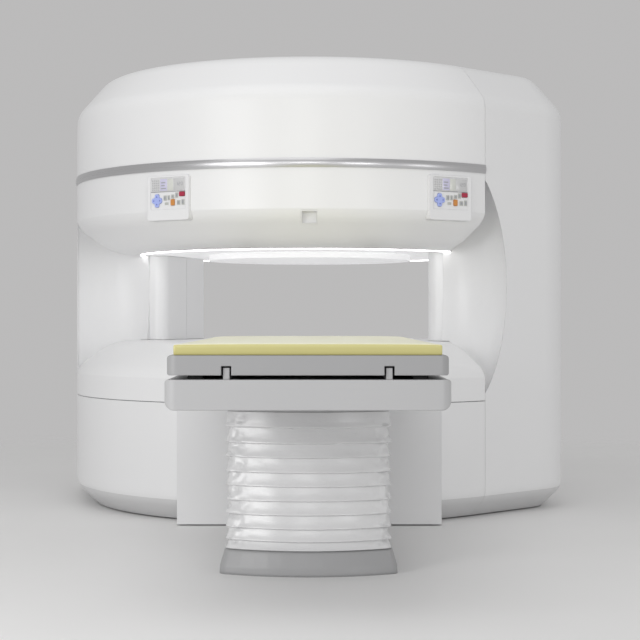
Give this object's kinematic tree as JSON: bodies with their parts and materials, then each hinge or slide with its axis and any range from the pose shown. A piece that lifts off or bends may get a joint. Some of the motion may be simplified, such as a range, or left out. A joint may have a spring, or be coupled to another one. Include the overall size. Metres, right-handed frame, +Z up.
{
  "type": "open magnet imaging scanner",
  "caption": "Open magnet body scanner: round upper and lower drums on turned pillars, with a lifting table whose top slides into the gap.",
  "frame": {"origin": "on the floor, under the vertical axis of the two magnet drums", "axes": "+Z up, -Y towards the table and the front of the scanner, +X to the right seen from the front"},
  "size_m": [2.624, 4.6958, 2.221],
  "materials": {
    "cover_white": "satin white moulded cover",
    "wall_white": "satin white moulded cover",
    "band_silver": "brushed",
    "pole_white": "smooth",
    "light": "lit diffuser",
    "control_grey": "moulded",
    "key_red": "moulded",
    "key_blue": "moulded",
    "key_orange": "moulded",
    "steel": "painted steel",
    "magnet_steel": "welded vessel",
    "coil_resin": "cast resin",
    "dark_rubber": "moulded",
    "plinth_grey": "painted",
    "bellows_vinyl": "glossy coated fabric",
    "tray_white": "moulded",
    "slab_grey": "composite board",
    "pad_yellow": "covered foam"
  },
  "bodies": {
    "magnet": {"base_frame": "steel", "levelling_feet": "dark_rubber", "lower_magnet": "magnet_steel", "upper_magnet": "magnet_steel", "support_posts": "magnet_steel", "lower_coil": "coil_resin", "upper_coil": "coil_resin", "cold_head": "magnet_steel", "lid_stand": "steel", "upper_frame": "steel", "bowl_frame": "steel", "lower_frame": "steel", "upper_front_cover": "cover_white", "upper_rear_cover": "cover_white", "bowl_front_cover": "cover_white", "bowl_rear_cover": "cover_white", "dome_front_cover": "cover_white", "dome_rear_cover": "cover_white", "lower_front_wall": "wall_white", "lower_rear_wall": "wall_white", "right_wing": "wall_white", "left_wing": "wall_white", "right_liner_front": "cover_white", "right_liner_rear": "cover_white", "left_liner_front": "cover_white", "left_liner_rear": "cover_white", "top_lid": "cover_white", "trim_band_front": "band_silver", "trim_band_rear": "band_silver", "upper_pole_cover": "pole_white", "rim_light": "light", "pole_deck": "cover_white", "channel_strips": "dark_rubber", "front_panel": "wall_white", "sensor_cup": "cover_white", "left_control": "control_grey", "right_control": "control_grey", "floor_duct": "plinth_grey", "plinth": "plinth_grey", "lift_outer": "steel", "bellows": "bellows_vinyl"},
    "table_top": {"table_slab": "slab_grey", "table_pad": "pad_yellow"},
    "table_carrier": {"lift_inner": "steel", "lift_head": "tray_white", "table_tray": "tray_white", "guide_rails": "tray_white", "bearer_strips": "dark_rubber", "slide_motor": "steel"},
    "lift_stage": {"lift_middle": "steel"},
    "left_stop": {"left_stop_key": "key_red"},
    "right_stop": {"right_stop_key": "key_red"},
    "left_move": {"left_move_pad": "key_blue"},
    "right_move": {"right_move_pad": "key_blue"},
    "left_start": {"left_start_key": "key_orange"},
    "right_start": {"right_start_key": "key_orange"}
  },
  "joints": [
    {"name": "lift_follow", "type": "slide", "parent": "magnet", "child": "lift_stage", "axis": [0, 0, 1], "range_m": [-0.165, 0]},
    {"name": "table_lift", "type": "slide", "parent": "magnet", "child": "table_carrier", "axis": [0, 0, 1], "range_m": [-0.33, 0], "deforming": ["bellows"]},
    {"name": "table_slide", "type": "slide", "parent": "table_carrier", "child": "table_top", "axis": [0, 1, 0], "range_m": [0, 1.7]},
    {"name": "left_stop_press", "type": "slide", "parent": "magnet", "child": "left_stop", "axis": [0.5358, 0.8443, 0], "range_m": [0, 0.0025], "stiffness_N_per_m": 800, "springref_m": -0.001},
    {"name": "left_move_press", "type": "slide", "parent": "magnet", "child": "left_move", "axis": [0.5358, 0.8443, 0], "range_m": [0, 0.0025], "stiffness_N_per_m": 800, "springref_m": -0.001},
    {"name": "left_start_press", "type": "slide", "parent": "magnet", "child": "left_start", "axis": [0.5358, 0.8443, 0], "range_m": [0, 0.0025], "stiffness_N_per_m": 800, "springref_m": -0.001},
    {"name": "right_stop_press", "type": "slide", "parent": "magnet", "child": "right_stop", "axis": [-0.5358, 0.8443, 0], "range_m": [0, 0.0025], "stiffness_N_per_m": 800, "springref_m": -0.001},
    {"name": "right_move_press", "type": "slide", "parent": "magnet", "child": "right_move", "axis": [-0.5358, 0.8443, 0], "range_m": [0, 0.0025], "stiffness_N_per_m": 800, "springref_m": -0.001},
    {"name": "right_start_press", "type": "slide", "parent": "magnet", "child": "right_start", "axis": [-0.5358, 0.8443, 0], "range_m": [0, 0.0025], "stiffness_N_per_m": 800, "springref_m": -0.001}
  ],
  "couplings": [
    {"joint": "lift_follow", "follows": "table_lift", "ratio": 0.5}
  ]
}
